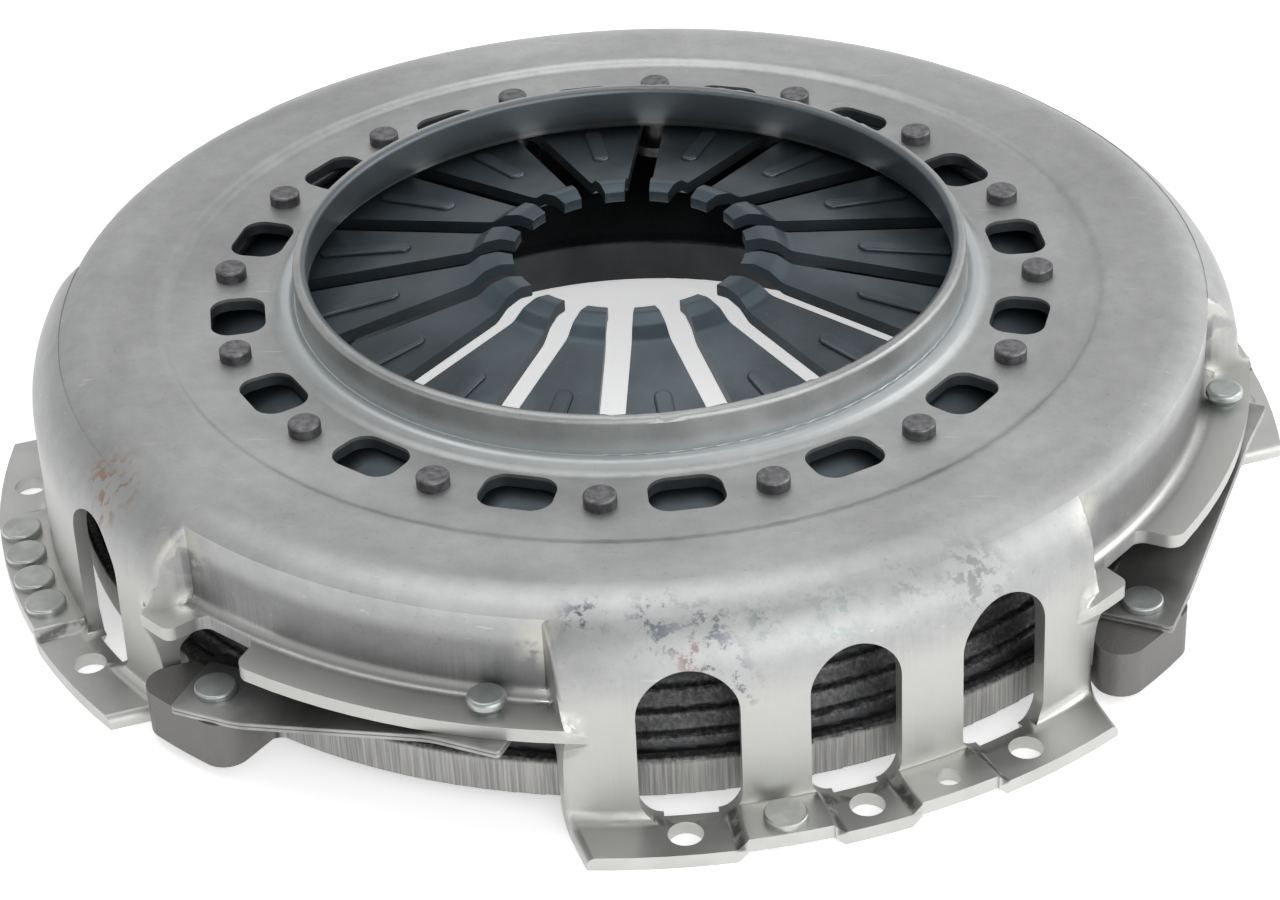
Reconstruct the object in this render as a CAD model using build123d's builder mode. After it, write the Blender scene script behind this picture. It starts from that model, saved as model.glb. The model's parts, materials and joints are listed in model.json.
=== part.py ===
from build123d import *
from math import asin, cos, degrees, hypot, radians, sin
import os

# Clutch pressure plate: a pressed cover that carries a diaphragm spring between two
# fulcrum rings, and a cast plate that hangs from the cover by four pairs of leaf straps.
# All lengths are millimetres.  The origin is on the axis, at the face that bolts to the
# flywheel, and +Z points to the release side.

# ---- cover sheet ----
sheet = 4.5                       # pressed steel, one thickness everywhere
cover_top = 71.8                  # highest face of the crown beside the shoulder
crown_dip = 1.8                   # how far the riveted ring lies below that face
lip_inner_radius = 105.1
lip_top = 84.8
lip_edge = 2.0                    # rounding of both edges of the lip
lip_bend = 11.5                   # underside bend from the crown into the lip
bead_width = 7.8                  # rolled bead round the foot of the lip
bead_height = 3.0
bead_groove = 1.4                 # the bead falls away to the lip by this much
bead_crest_start = 1.8            # the crest lies this far from the lip
bead_crest_width = 2.4
bead_bends = (0.4, 2.0, 3.5, 5.0)        # from the groove outwards
dip_radius = 152.9                # middle of the small step in the crown
dip_run = 2.6                     # the step rises over this radial distance
dip_bend = 5.0
skirt_radius = 197.5              # outside of the skirt at the feet
skirt_draft = 0.9                 # the skirt is this much wider at its foot
shoulder_bend = 24.0              # outside radius between the crown and the skirt
recess_radius = 187.0             # outside of the skirt behind the straps
foot_bend = 4.0                   # outside radius between the skirt and a foot
corner_bend = 3.0                 # outside radius down the side of a foot
wall_reach = 1.5                  # the wall behind the straps runs this far into the shoulder

# ---- feet ----
foot_count = 4
foot_first = 22.5                 # direction of the first foot from +X
foot_half_width = 83.2            # the sides of a foot are parallel
flange_radius = 215.0
bolt_circle_radius = 205.5
bolt_hole_radius = 5.25
bolt_step = 15.0                  # from one bolt hole to the next
pad_lift = 3.0                    # the feet are pressed up under the balance rivets
pad_slope_run = 3.0               # over this length at both ends of a pad
pad_bend = 1.8
pad_setback = 0.6                 # and trimmed back by this much
pad_root_radius = 196.0           # the pressed-up stretch starts at this radius
pad_step = 7.0                    # from the middle bolt to each single balance hole
single_pad_half_width = 12.8
row_pad_half_width = 33.4
outer_window_step = 14.3          # from the middle of a foot to its outer windows
outer_window_width = 30.0
middle_window_width = 28.0
window_top = 55.8
window_low_corner = 7.0
window_sill_radius = 197.0
side_edge_run_out = 6.0           # a foot's side wall ends in the skirt at this height
side_edge_radius = 193.0          # inner edge of the side wall, between two heights
side_edge_low_height = 12.0
side_edge_high_height = 25.0
side_edge_bend = 5.0

# ---- ledges over the straps ----
ledge_radius = 202.0
ledge_top = 40.0
ledge_bend = 4.0
ear_corner = 3.5                  # in plan, beside the notch
ledge_corner = 5.0
flare_width = 9.0                 # a foot's corner flares out to the ledge over this width
# outline of the flare from the side: distance outside the skirt's foot, height
flare_side = ((-3.0, 50.0), (-0.7, 47.0), (0.2, 44.5), (1.7, 42.0), (3.6, 40.0), (3.6, 35.5),
              (1.9, 31.5), (0.8, 27.5), (0.1, 23.0), (-0.3, 18.0), (-0.7, 13.0), (-3.0, 13.0))
flare_root = -0.9                 # where the flare ends, inside the skirt
notch_radius = 189.5
notch_corner = 4.0
notch_start = -16.4               # angles are from the middle of the strap sector
notch_end = -9.8
notch_flare = 1.3                 # the notch opens by this angle at each side

# ---- crown windows and stepped rivets ----
rivet_count = 16
rivet_circle_radius = 132.5
slot_circle_radius = 128.6
slot_inner_width = 22.0
slot_outer_width = 24.0
slot_depth = 17.8
slot_corner = 6.5
rivet_shank_radius = 3.9
rivet_shoulder_radius = 4.75
rivet_head_radius = 5.1
rivet_head_height = 4.0
rivet_head_edge = 0.9
rivet_collar_radius = 9.0
rivet_collar_height = 3.6

# ---- diaphragm spring and its rings ----
wire_diameter = 5.0
spring_thickness = 4.0
spring_slope = 0.19               # rise towards the axis, per unit of radius
spring_radius = 168.0
finger_tip_radius = 38.0
finger_gap = 8.4
finger_crook_radius = 53.0        # foot of the crook near the finger tips
finger_crook_run = 4.5
finger_crook_rise = 2.7
finger_nose_slope = 0.266         # rise towards the axis between the crook and the nose
finger_nose_run = 5.0
finger_nose_drop = 1.0
finger_bends = (0.5, 5.0, 4.0, 6.0, 0.5)     # from the tip out to the rim
gap_end_radius = 6.6
rib_inner_radius = 75.5
rib_length = 33.0
rib_root = 1.5                    # starts this far inside the finger
rib_width = 5.8
rib_height = 1.1
rib_edge = 0.9

# ---- cast plate ----
friction_face = 4.0               # height of the rubbing face, straps at rest
friction_outer_radius = 187.5
friction_bore_radius = 110.0
rim_height = 13.2
rim_edge = 1.2
bore_edge_height = 16.0
ridge_radius = 165.0
ridge_width = 4.0
ridge_edge = 1.0
# stepped slope inside the rim: distance in from the rim, height over it, corner radius
outer_slope = (
    (3.7, 0.4, 1.0),
    (5.1, -1.4, 1.0),
    (6.9, 4.0, 1.4),
    (9.3, 3.6, 1.0),
    (11.3, 8.6, 1.4),
    (13.7, 8.2, 1.0),
    (15.5, 13.4, 1.4),
)
ridge_foot_height = 13.8          # over the rim, at the foot of the ridge's outer side
ridge_foot_bend = 2.0
inner_foot_height = 16.8          # and at the foot of its inner side
inner_foot_bend = 3.0
# cast face inside the ridge: distance out from the bore, height over its edge, corner radius
inner_slope = (
    (40.0, 10.0, 5.0),
    (22.0, 7.5, 5.0),
    (5.0, 1.0, 4.0),
    (0.0, 0.0, 1.0),
)
plate_edge = 0.8                  # rounding of the rubbing face's two edges
lug_start = -22.0                 # angles are from the middle of the strap sector
lug_end = -9.2
lug_radius = 209.5
lug_inner_radius = 175.0
lug_corner = 8.0
lug_root = 7.0
lug_top = 19.8

# ---- straps and their rivets ----
strap_count = 4
strap_thickness = 1.25
strap_leaves = 2
strap_width = 24.0
strap_overhang = 9.0              # past each rivet
strap_flat = 13.0                 # flat at each rivet before the leaf bends away
strap_corner = 1.5
strap_edge = 0.3
strap_bend = 40.0
lug_rivet_angle = -13.0
anchor_angle = 13.8
anchor_radius = 193.9             # rivet through the cover ledge
lug_rivet_radius = 198.0          # rivet through the lug
strap_rivet_shank = 4.0
anchor_head_radius = 5.9
anchor_head_height = 5.4
anchor_taper_height = 3.0         # the head narrows to the shank over this height
anchor_seat_gap = 0.25            # the taper starts this far above the ledge
anchor_head_edge = 1.4
lug_head_radius = 6.4
lug_head_height = 2.0
strap_tail_radius = 5.6
strap_tail_height = 2.2
low_head_edge = 0.7               # rounding of the lug and balance rivet heads

# ---- balance rivets ----
balance_radius = 207.4
balance_hole_radius = 3.85
balance_head_radius = 6.5
balance_head_height = 2.4
balance_tail_radius = 5.25
balance_tail_height = 1.6
balance_row_step = 4.1

# ---- clearances ----
fit_clearance = 0.05              # rivet shank in its hole, faces of stacked leaves
ring_clearance = 0.1              # wire ring against what it touches
spring_seat = 0.1                 # plate ridge under the spring
strap_hole_clearance = 0.3
lug_side_clearance = 1.6
lug_pocket_clearance = 0.6

full_turn = 360.0
pitch = full_turn / rivet_count
foot_pitch = full_turn / foot_count
strap_first = foot_first + foot_pitch / 2
crown_low = cover_top - crown_dip
crown_under = crown_low - sheet
far = 300.0                       # reaches past everything
overcut = 1.0                     # a cut starts and ends this far outside what it cuts


def at(radius, angle, height=0.0):
    """Point at a radius and an angle about the axis."""
    return (radius * cos(radians(angle)), radius * sin(radians(angle)), height)


def radial_plane(angle):
    """Plane through the axis: x runs outwards at the angle, y runs up."""
    return Plane(origin=(0, 0, 0), x_dir=at(1, angle), z_dir=at(1, angle - 90))


def section(corners, angle=0.0, keep=None):
    """Face in a radial plane from rows of radius, height and corner radius.

    keep limits the face to the radii between its two values.
    """
    with BuildSketch(radial_plane(angle)) as face:
        with BuildLine():
            points = [(radius, height) for radius, height, _ in corners]
            FilletPolyline(*points, radius=[bend for _, _, bend in corners], close=True)
        make_face()
        if keep:
            with Locations(((keep[0] + keep[1]) / 2, 0)):
                Rectangle(keep[1] - keep[0], 2 * far, mode=Mode.INTERSECT)
    return face.sketch


def ring_sector(inner, outer, middle, half_angle, height=0.0):
    """Face between two radii and two directions, at a height."""
    with BuildSketch(Plane.XY.offset(height)) as face:
        with BuildLine():
            start, end = middle - half_angle, middle + half_angle
            outer_arc = ThreePointArc(at(outer, start), at(outer, middle), at(outer, end))
            inner_arc = ThreePointArc(at(inner, start), at(inner, middle), at(inner, end))
            Line(outer_arc @ 0, inner_arc @ 0)
            Line(outer_arc @ 1, inner_arc @ 1)
        make_face()
    return face.sketch


# ---- cover: outline of the pressed sheet in a radial plane ----
lip_outer_radius = lip_inner_radius + sheet
bead_radius = lip_outer_radius + bead_width
crest_start = lip_outer_radius + bead_crest_start
crest_end = crest_start + bead_crest_width
bead_top = crown_low + bead_height
skirt_foot_radius = skirt_radius + skirt_draft
shoulder_inner = shoulder_bend - sheet
dip_inner = dip_radius - dip_run / 2
dip_outer = dip_radius + dip_run / 2

lip_and_crown = [
    (lip_inner_radius, lip_top, lip_edge),
    (lip_outer_radius, lip_top, lip_edge),
    (lip_outer_radius, bead_top - bead_groove, bead_bends[0]),
    (crest_start, bead_top, bead_bends[1]),
    (crest_end, bead_top, bead_bends[2]),
    (bead_radius, crown_low, bead_bends[3]),
    (dip_inner, crown_low, dip_bend),
    (dip_outer, cover_top, dip_bend),
    (skirt_radius, cover_top, shoulder_bend),
    (skirt_radius, ledge_top, 0),
    (skirt_radius - sheet, ledge_top, 0),
    (skirt_radius - sheet, cover_top - sheet, shoulder_inner),
    (dip_outer, cover_top - sheet, dip_bend),
    (dip_inner, crown_under, dip_bend),
    (lip_inner_radius, crown_under, lip_bend),
]
foot_sheet = [
    (recess_radius - shoulder_bend, cover_top, 0),
    (skirt_radius, cover_top, shoulder_bend),
    (skirt_foot_radius, sheet, foot_bend),
    (flange_radius, sheet, 0),
    (flange_radius, 0, 0),
    (skirt_foot_radius - sheet, 0, foot_bend + sheet),
    (skirt_radius - sheet, cover_top - sheet, shoulder_inner),
    (recess_radius - shoulder_bend, cover_top - sheet, 0),
]
half_sheet = sheet / 2
foot_side = [
    (recess_radius - shoulder_bend, cover_top - half_sheet, 0),
    (skirt_radius - half_sheet, cover_top - half_sheet, shoulder_bend - half_sheet),
    (skirt_foot_radius - half_sheet, side_edge_run_out, 0),
    (side_edge_radius, side_edge_low_height, side_edge_bend),
    (side_edge_radius, side_edge_high_height, side_edge_bend),
    (recess_radius - sheet, ledge_top - sheet, 0),
    (recess_radius - shoulder_bend, ledge_top - sheet, 0),
]
wall_top = cover_top - sheet - wall_reach
strap_wall = [
    (recess_radius, wall_top, 0),
    (recess_radius, ledge_top, ledge_bend),
    (ledge_radius + sheet, ledge_top, 0),
    (ledge_radius + sheet, ledge_top - sheet, 0),
    (recess_radius - sheet, ledge_top - sheet, ledge_bend + sheet),
    (recess_radius - sheet, wall_top, 0),
]

foot_span = 64.0                  # each foot is turned wider than it is, then cut to width
foot_reach = 134.0                # radial length of a block that covers a whole foot


def pad_line(half_width, height):
    """Rows of across, up and bend for one face of a stretch that is pressed up."""
    slope_start = half_width + pad_slope_run
    return [(-slope_start, height, pad_bend), (-half_width, height + pad_lift, pad_bend),
            (half_width, height + pad_lift, pad_bend), (slope_start, height, pad_bend)]


def flare_face(side, across, rows):
    """Outline of a corner flare in a plane beside the middle of a foot."""
    with BuildSketch(Plane(origin=(0, side * across, 0), x_dir=(1, 0, 0),
                           z_dir=(0, -1, 0))) as face:
        with BuildLine():
            Polyline(*[(((skirt_foot_radius + out) ** 2 - across ** 2) ** 0.5, up)
                       for out, up in rows], close=True)
        make_face()
    return face.sketch


def cover_foot(windows, bolt_angles, pads, balance_angles):
    """One foot of the cover along +X, from the shoulder down to the bolting face.

    windows holds an angle and a width for each opening, and pads an angle and a half width
    for each stretch that is pressed up for balance rivets.
    """
    with BuildPart() as foot:
        revolve(section(foot_side, -foot_span / 2, keep=(recess_radius - sheet, far)),
                axis=Axis.Z, revolution_arc=foot_span)
        with Locations((recess_radius, 0, cover_top / 2)):
            Box(foot_reach, 2 * (foot_half_width - sheet), 3 * cover_top,
                mode=Mode.SUBTRACT)
        revolve(section(foot_sheet, -foot_span / 2, keep=(recess_radius, far)),
                axis=Axis.Z, revolution_arc=foot_span)
        for side in (-1, 1):
            with Locations((recess_radius, side * (foot_half_width + far / 2), 0)):
                Box(far, far, far, mode=Mode.SUBTRACT)
        # rounded corners between the skirt and the sides, down to the flange
        corners = foot.edges().filter_by(
            lambda edge: abs(abs(edge.center().Y) - foot_half_width) < 0.01
            and hypot(edge.center().X, edge.center().Y) > side_edge_radius + 1
            and edge.center().Z > side_edge_low_height)
        fillet(corners, corner_bend)
        # the corners flare out to meet the ledges over the straps
        flare_end = [(min(out, flare_root), up) for out, up in flare_side]
        for side in (-1, 1):
            loft([flare_face(side, foot_half_width, flare_side),
                  flare_face(side, foot_half_width - flare_width, flare_end)], ruled=True)
        # the feet are pressed up and trimmed back under the balance rivets
        for middle, half_width in pads:
            pad_plane = Plane(origin=at(pad_root_radius, middle), x_dir=at(1, middle + 90),
                              z_dir=at(1, middle))
            ends = half_width + pad_slope_run + sheet
            lower_face = [(-ends, 0, 0), *pad_line(half_width, 0), (ends, 0, 0)]
            upper_face = [(ends, sheet, 0), *reversed(pad_line(half_width, sheet)),
                          (-ends, sheet, 0)]
            under = [(ends, -sheet, 0), (-ends, -sheet, 0)]
            for rows, mode in ((lower_face + upper_face, Mode.ADD),
                               (lower_face + under, Mode.SUBTRACT)):
                with BuildSketch(pad_plane) as pressed:
                    with BuildLine():
                        FilletPolyline(*[(across, up) for across, up, _ in rows],
                                       radius=[bend for _, _, bend in rows], close=True)
                    make_face()
                extrude(pressed.sketch, flange_radius - pad_root_radius, mode=mode)
            trim = ring_sector(flange_radius - pad_setback, far, middle,
                               degrees(half_width / flange_radius), -overcut)
            extrude(trim, sheet + pad_lift + 2 * overcut, mode=Mode.SUBTRACT)
        outside = ring_sector(flange_radius, far, 0, foot_span / 2, -overcut)
        extrude(outside, sheet + pad_lift + 2 * overcut, mode=Mode.SUBTRACT)
        # arched windows beside the bolts
        for angle, width in windows:
            arch_centre = window_top - width / 2
            with BuildSketch(Plane(origin=(0, 0, 0), x_dir=at(1, angle + 90),
                                   z_dir=at(1, angle))) as arch:
                with Locations((0, arch_centre)):
                    Circle(width / 2)
                with Locations((0, (arch_centre + sheet) / 2)):
                    Rectangle(width, arch_centre - sheet)
                fillet(arch.vertices().sort_by(Axis.Y)[:2], window_low_corner)
            extrude(arch.sketch, far, mode=Mode.SUBTRACT)
            sill_half_angle = degrees(asin((width / 2 - window_low_corner) / window_sill_radius))
            sill = ring_sector(recess_radius - 2 * sheet, window_sill_radius, angle,
                               sill_half_angle, -overcut)
            extrude(sill, sheet + overcut, mode=Mode.SUBTRACT)
        for angle in bolt_angles:
            with Locations(at(bolt_circle_radius, angle)):
                Cylinder(bolt_hole_radius, far, mode=Mode.SUBTRACT)
        for angle in balance_angles:
            with Locations(at(balance_radius, angle)):
                Cylinder(balance_hole_radius, far, mode=Mode.SUBTRACT)
    return foot.part


outer_windows = ((-outer_window_step, outer_window_width), (outer_window_step, outer_window_width))
with_holes = cover_foot(
    windows=(*outer_windows, (0, middle_window_width)),
    bolt_angles=(-bolt_step, 0, bolt_step),
    pads=((-pad_step, single_pad_half_width), (pad_step, single_pad_half_width)),
    balance_angles=(-pad_step, pad_step),
)
balance_row = [balance_row_step * (place - 1.5) for place in range(4)]
with_row = cover_foot(
    windows=outer_windows,
    bolt_angles=(-bolt_step, bolt_step),
    pads=((0, row_pad_half_width),),
    balance_angles=balance_row,
)

# ---- plan of one ledge, with its middle along +X ----
with BuildSketch() as ledge_plan:
    add(ring_sector(recess_radius - 2 * sheet, ledge_radius, 0, foot_pitch / 2))
    for side in (-foot_pitch / 2, foot_pitch / 2):
        with Locations(Location(at(recess_radius, side), (0, 0, side))):
            Rectangle(foot_reach, 2 * foot_half_width, mode=Mode.SUBTRACT)
    # notch over the lug rivet
    Polygon(at(notch_radius, notch_start), at(notch_radius, notch_end),
            at(flange_radius, notch_end + notch_flare),
            at(flange_radius, notch_start - notch_flare), align=None, mode=Mode.SUBTRACT)
    notch_corners = ledge_plan.vertices().filter_by(
        lambda corner: abs(hypot(corner.X, corner.Y) - notch_radius) < 0.01)
    notch_mouth = ledge_plan.vertices().filter_by(
        lambda corner: hypot(corner.X, corner.Y) > ledge_radius - 0.01).sort_by(Axis.Y)[1:3]
    mouth_spots = [corner.center() for corner in notch_mouth]
    fillet(notch_corners, notch_corner)
    for spot, bend in zip(mouth_spots, (ear_corner, ledge_corner)):
        fillet(ledge_plan.vertices().sort_by_distance(spot)[0], bend)

os.makedirs("parts", exist_ok=True)

with BuildPart() as cover:
    # wall and ledge behind and over the straps
    revolve(section(strap_wall), axis=Axis.Z)
    with PolarLocations(recess_radius, foot_count, start_angle=foot_first):
        Box(foot_reach, 2 * foot_half_width, 3 * cover_top, mode=Mode.SUBTRACT)
    with BuildSketch() as ledges:
        with PolarLocations(0, strap_count, start_angle=strap_first):
            add(ledge_plan.sketch)
    extrude(amount=far, mode=Mode.INTERSECT)
    # lip, bead and riveted crown
    revolve(section(lip_and_crown, keep=(0, recess_radius)), axis=Axis.Z)
    for foot, first in ((with_row, foot_first), (with_holes, foot_first + foot_pitch)):
        with PolarLocations(0, foot_count // 2, start_angle=first):
            add(foot)
    # windows between the stepped rivets, and the rivet holes
    with BuildSketch(Plane.XY.offset(crown_under - overcut)) as slots:
        with PolarLocations(slot_circle_radius, rivet_count, start_angle=pitch / 2):
            Polygon((-slot_depth / 2, -slot_inner_width / 2), (slot_depth / 2, -slot_outer_width / 2),
                    (slot_depth / 2, slot_outer_width / 2), (-slot_depth / 2, slot_inner_width / 2),
                    align=None)
        fillet(slots.vertices(), slot_corner)
    extrude(amount=sheet + bead_height + 2 * overcut, mode=Mode.SUBTRACT)
    with PolarLocations(rivet_circle_radius, rivet_count):
        Cylinder(rivet_shank_radius + fit_clearance, far, mode=Mode.SUBTRACT)
    with PolarLocations(anchor_radius, strap_count, start_angle=strap_first + anchor_angle):
        Cylinder(strap_rivet_shank + fit_clearance, far, mode=Mode.SUBTRACT)
cover.part.label = "cover"
export_step(cover.part, "parts/cover.step")

# ---- heights inside the cover ----
spring_rise = hypot(1, spring_slope)      # slant length per unit of radius
ring_radius = rivet_circle_radius + rivet_shoulder_radius + wire_diameter / 2 + ring_clearance
upper_ring_height = crown_under - ring_clearance - wire_diameter / 2
ring_to_spring = (wire_diameter / 2 + ring_clearance) * spring_rise
spring_drop = spring_thickness * spring_rise     # thickness measured straight down
lower_ring_height = upper_ring_height - 2 * ring_to_spring - spring_drop
collar_top = lower_ring_height - wire_diameter / 2 - ring_clearance


def spring_top(radius):
    """Height of the spring's upper face, away from the crook of the fingers."""
    return upper_ring_height - ring_to_spring + spring_slope * (ring_radius - radius)


for name, height in (("upper_fulcrum_ring", upper_ring_height),
                     ("lower_fulcrum_ring", lower_ring_height)):
    with BuildPart() as fulcrum_ring:
        with Locations((0, 0, height)):
            Torus(ring_radius, wire_diameter / 2)
    fulcrum_ring.part.label = name
    export_step(fulcrum_ring.part, f"parts/{name}.step")

with BuildPart() as fulcrum_rivets:
    for radius, low, high in (
        (rivet_collar_radius, collar_top - rivet_collar_height, collar_top),
        (rivet_shoulder_radius, collar_top, crown_under),
        (rivet_shank_radius, crown_under, crown_low),
        (rivet_head_radius, crown_low, crown_low + rivet_head_height),
    ):
        with BuildSketch(Plane.XY.offset(low)):
            with PolarLocations(rivet_circle_radius, rivet_count):
                Circle(radius)
        extrude(amount=high - low)
    fillet(fulcrum_rivets.faces().sort_by(Axis.Z)[-rivet_count:].edges(), rivet_head_edge)
fulcrum_rivets.part.label = "fulcrum_rivets"
export_step(fulcrum_rivets.part, "parts/fulcrum_rivets.step")

# ---- diaphragm spring ----
crook_end = finger_crook_radius - finger_crook_run
nose_start = finger_tip_radius + finger_nose_run
crook_top = spring_top(crook_end) + finger_crook_rise
nose_top = crook_top + finger_nose_slope * (crook_end - nose_start)
finger_top = [
    (finger_tip_radius, nose_top - finger_nose_drop),
    (nose_start, nose_top),
    (crook_end, crook_top),
    (finger_crook_radius, spring_top(finger_crook_radius)),
    (spring_radius, spring_top(spring_radius)),
]
spring_upper = [(radius, height, bend) for (radius, height), bend in zip(finger_top, finger_bends)]
spring_lower = [(radius, height - spring_drop, bend) for radius, height, bend in spring_upper]
spring_outline = spring_upper + spring_lower[::-1]

with BuildPart() as diaphragm_spring:
    revolve(section(spring_outline), axis=Axis.Z)
    with BuildSketch() as gaps:
        with PolarLocations(rivet_circle_radius / 2, rivet_count):
            Rectangle(rivet_circle_radius, finger_gap)
        with PolarLocations(rivet_circle_radius, rivet_count):
            Circle(gap_end_radius)
        Circle(finger_tip_radius - overcut)
    extrude(amount=far, mode=Mode.SUBTRACT)
    # raised rib along the root of each finger
    for place in range(rivet_count):
        angle = pitch * (place + 0.5)
        slope_plane = Plane(origin=at(rib_inner_radius, angle, spring_top(rib_inner_radius) - rib_root),
                            x_dir=at(1, angle, -spring_slope),
                            z_dir=at(spring_slope, angle, 1))
        with BuildSketch(slope_plane):
            with Locations((rib_length / 2, 0)):
                SlotOverall(rib_length, rib_width)
        extrude(amount=rib_root + rib_height)
    rib_faces = diaphragm_spring.faces().filter_by(GeomType.PLANE).filter_by(
        lambda face: face.area < 1.1 * rib_length * rib_width and face.normal_at().Z > 0.9)
    fillet(rib_faces.edges(), rib_edge)
diaphragm_spring.part.label = "diaphragm_spring"
export_step(diaphragm_spring.part, "parts/diaphragm_spring.step")

# ---- cast plate ----
ridge_top = spring_top(ridge_radius + ridge_width / 2) - spring_drop - spring_seat
rim_top = friction_face + rim_height
bore_top = friction_face + bore_edge_height
plate_outline = [
    (friction_bore_radius, friction_face, plate_edge),
    (friction_outer_radius, friction_face, plate_edge),
    (friction_outer_radius, rim_top, rim_edge),
    *[(friction_outer_radius - inset, rim_top + rise, bend) for inset, rise, bend in outer_slope],
    (ridge_radius + ridge_width, rim_top + ridge_foot_height, ridge_foot_bend),
    (ridge_radius + ridge_width / 2, ridge_top, ridge_edge),
    (ridge_radius - ridge_width / 2, ridge_top, ridge_edge),
    (ridge_radius - ridge_width, rim_top + inner_foot_height, inner_foot_bend),
    *[(friction_bore_radius + outset, bore_top + rise, bend) for outset, rise, bend in inner_slope],
]
anchor_stack_top = ledge_top - sheet - fit_clearance
strap_stack = strap_leaves * strap_thickness + (strap_leaves - 1) * fit_clearance
lug_thickness = lug_top - friction_face
pocket_depth = lug_thickness / 3
pocket_radius = strap_tail_radius + lug_pocket_clearance

with BuildPart() as pressure_plate:
    # lugs for the straps, trimmed beside the feet of the cover
    with BuildSketch(Plane.XY.offset(friction_face)) as lugs:
        for place in range(strap_count):
            middle = strap_first + place * foot_pitch + (lug_start + lug_end) / 2
            add(ring_sector(lug_inner_radius, lug_radius, middle, (lug_end - lug_start) / 2))
        with PolarLocations(recess_radius, foot_count, start_angle=foot_first):
            Rectangle(foot_reach, 2 * (foot_half_width + lug_side_clearance), mode=Mode.SUBTRACT)
        lug_corners = lugs.vertices().filter_by(
            lambda corner: hypot(corner.X, corner.Y) > lug_radius - 0.01)
        fillet(lug_corners, lug_corner)
    extrude(amount=lug_thickness)
    # hollow roots where the lugs leave the rim
    with BuildSketch(Plane.XY.offset(friction_face + rim_edge)) as roots:
        add(lugs.sketch.moved(Location((0, 0, -friction_face))))
        Circle(friction_outer_radius)
        root_corners = roots.vertices().filter_by(
            lambda corner: abs(hypot(corner.X, corner.Y) - friction_outer_radius) < 0.01
            and abs(corner.Y) > lug_root)
        fillet(root_corners, lug_root)
        Circle(friction_outer_radius - rim_edge, mode=Mode.SUBTRACT)
    extrude(amount=rim_height - 2 * rim_edge)
    revolve(section(plate_outline), axis=Axis.Z)
    with PolarLocations(lug_rivet_radius, strap_count, start_angle=strap_first + lug_rivet_angle):
        Cylinder(strap_rivet_shank + fit_clearance, 4 * lug_top, mode=Mode.SUBTRACT)
    with BuildSketch(Plane.XY.offset(friction_face)):
        with PolarLocations(lug_rivet_radius, strap_count, start_angle=strap_first + lug_rivet_angle):
            Circle(pocket_radius)
    extrude(amount=pocket_depth, mode=Mode.SUBTRACT)
pressure_plate.part.label = "pressure_plate"
export_step(pressure_plate.part, "parts/pressure_plate.step")

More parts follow.
